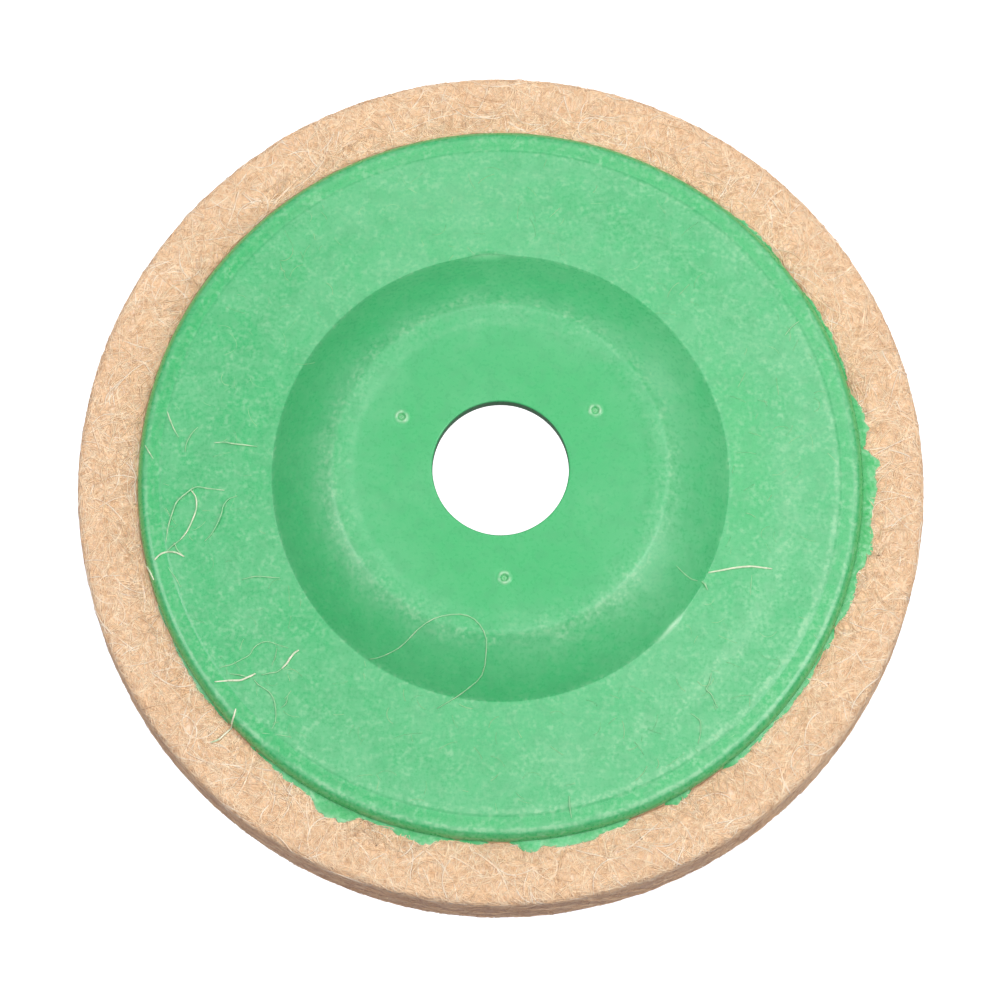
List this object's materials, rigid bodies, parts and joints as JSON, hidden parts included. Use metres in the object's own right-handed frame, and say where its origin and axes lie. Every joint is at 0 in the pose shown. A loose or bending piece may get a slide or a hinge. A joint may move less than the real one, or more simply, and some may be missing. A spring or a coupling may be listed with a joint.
{
  "type": "felt polishing wheel",
  "caption": "Round felt polishing wheel: a thick ring of pressed wool felt bonded under a green moulded plate with a raised round hub and a central spindle bore.",
  "frame": {"origin": "centre of the felt's working face, on the wheel's axis, in the plane that the wheel rests on", "axes": "+Z along the axis from the working face towards the grinder, +X and +Y across the wheel, with the first gate mark 32 degrees from +X"},
  "size_m": [0.1, 0.1, 0.02],
  "materials": {
    "felt": "pressed wool felt, cream to peach, matted fine fibres",
    "resin": "dull tan resin soaked into felt",
    "plate": "satin moulded plastic with fine pale glass-fibre streaks",
    "flash": "thin torn moulding flash, satin"
  },
  "bodies": {
    "root": {"felt_ring": "felt", "bond_layer": "resin", "backing_plate": "plate", "moulding_flash": "flash"}
  },
  "joints": []
}
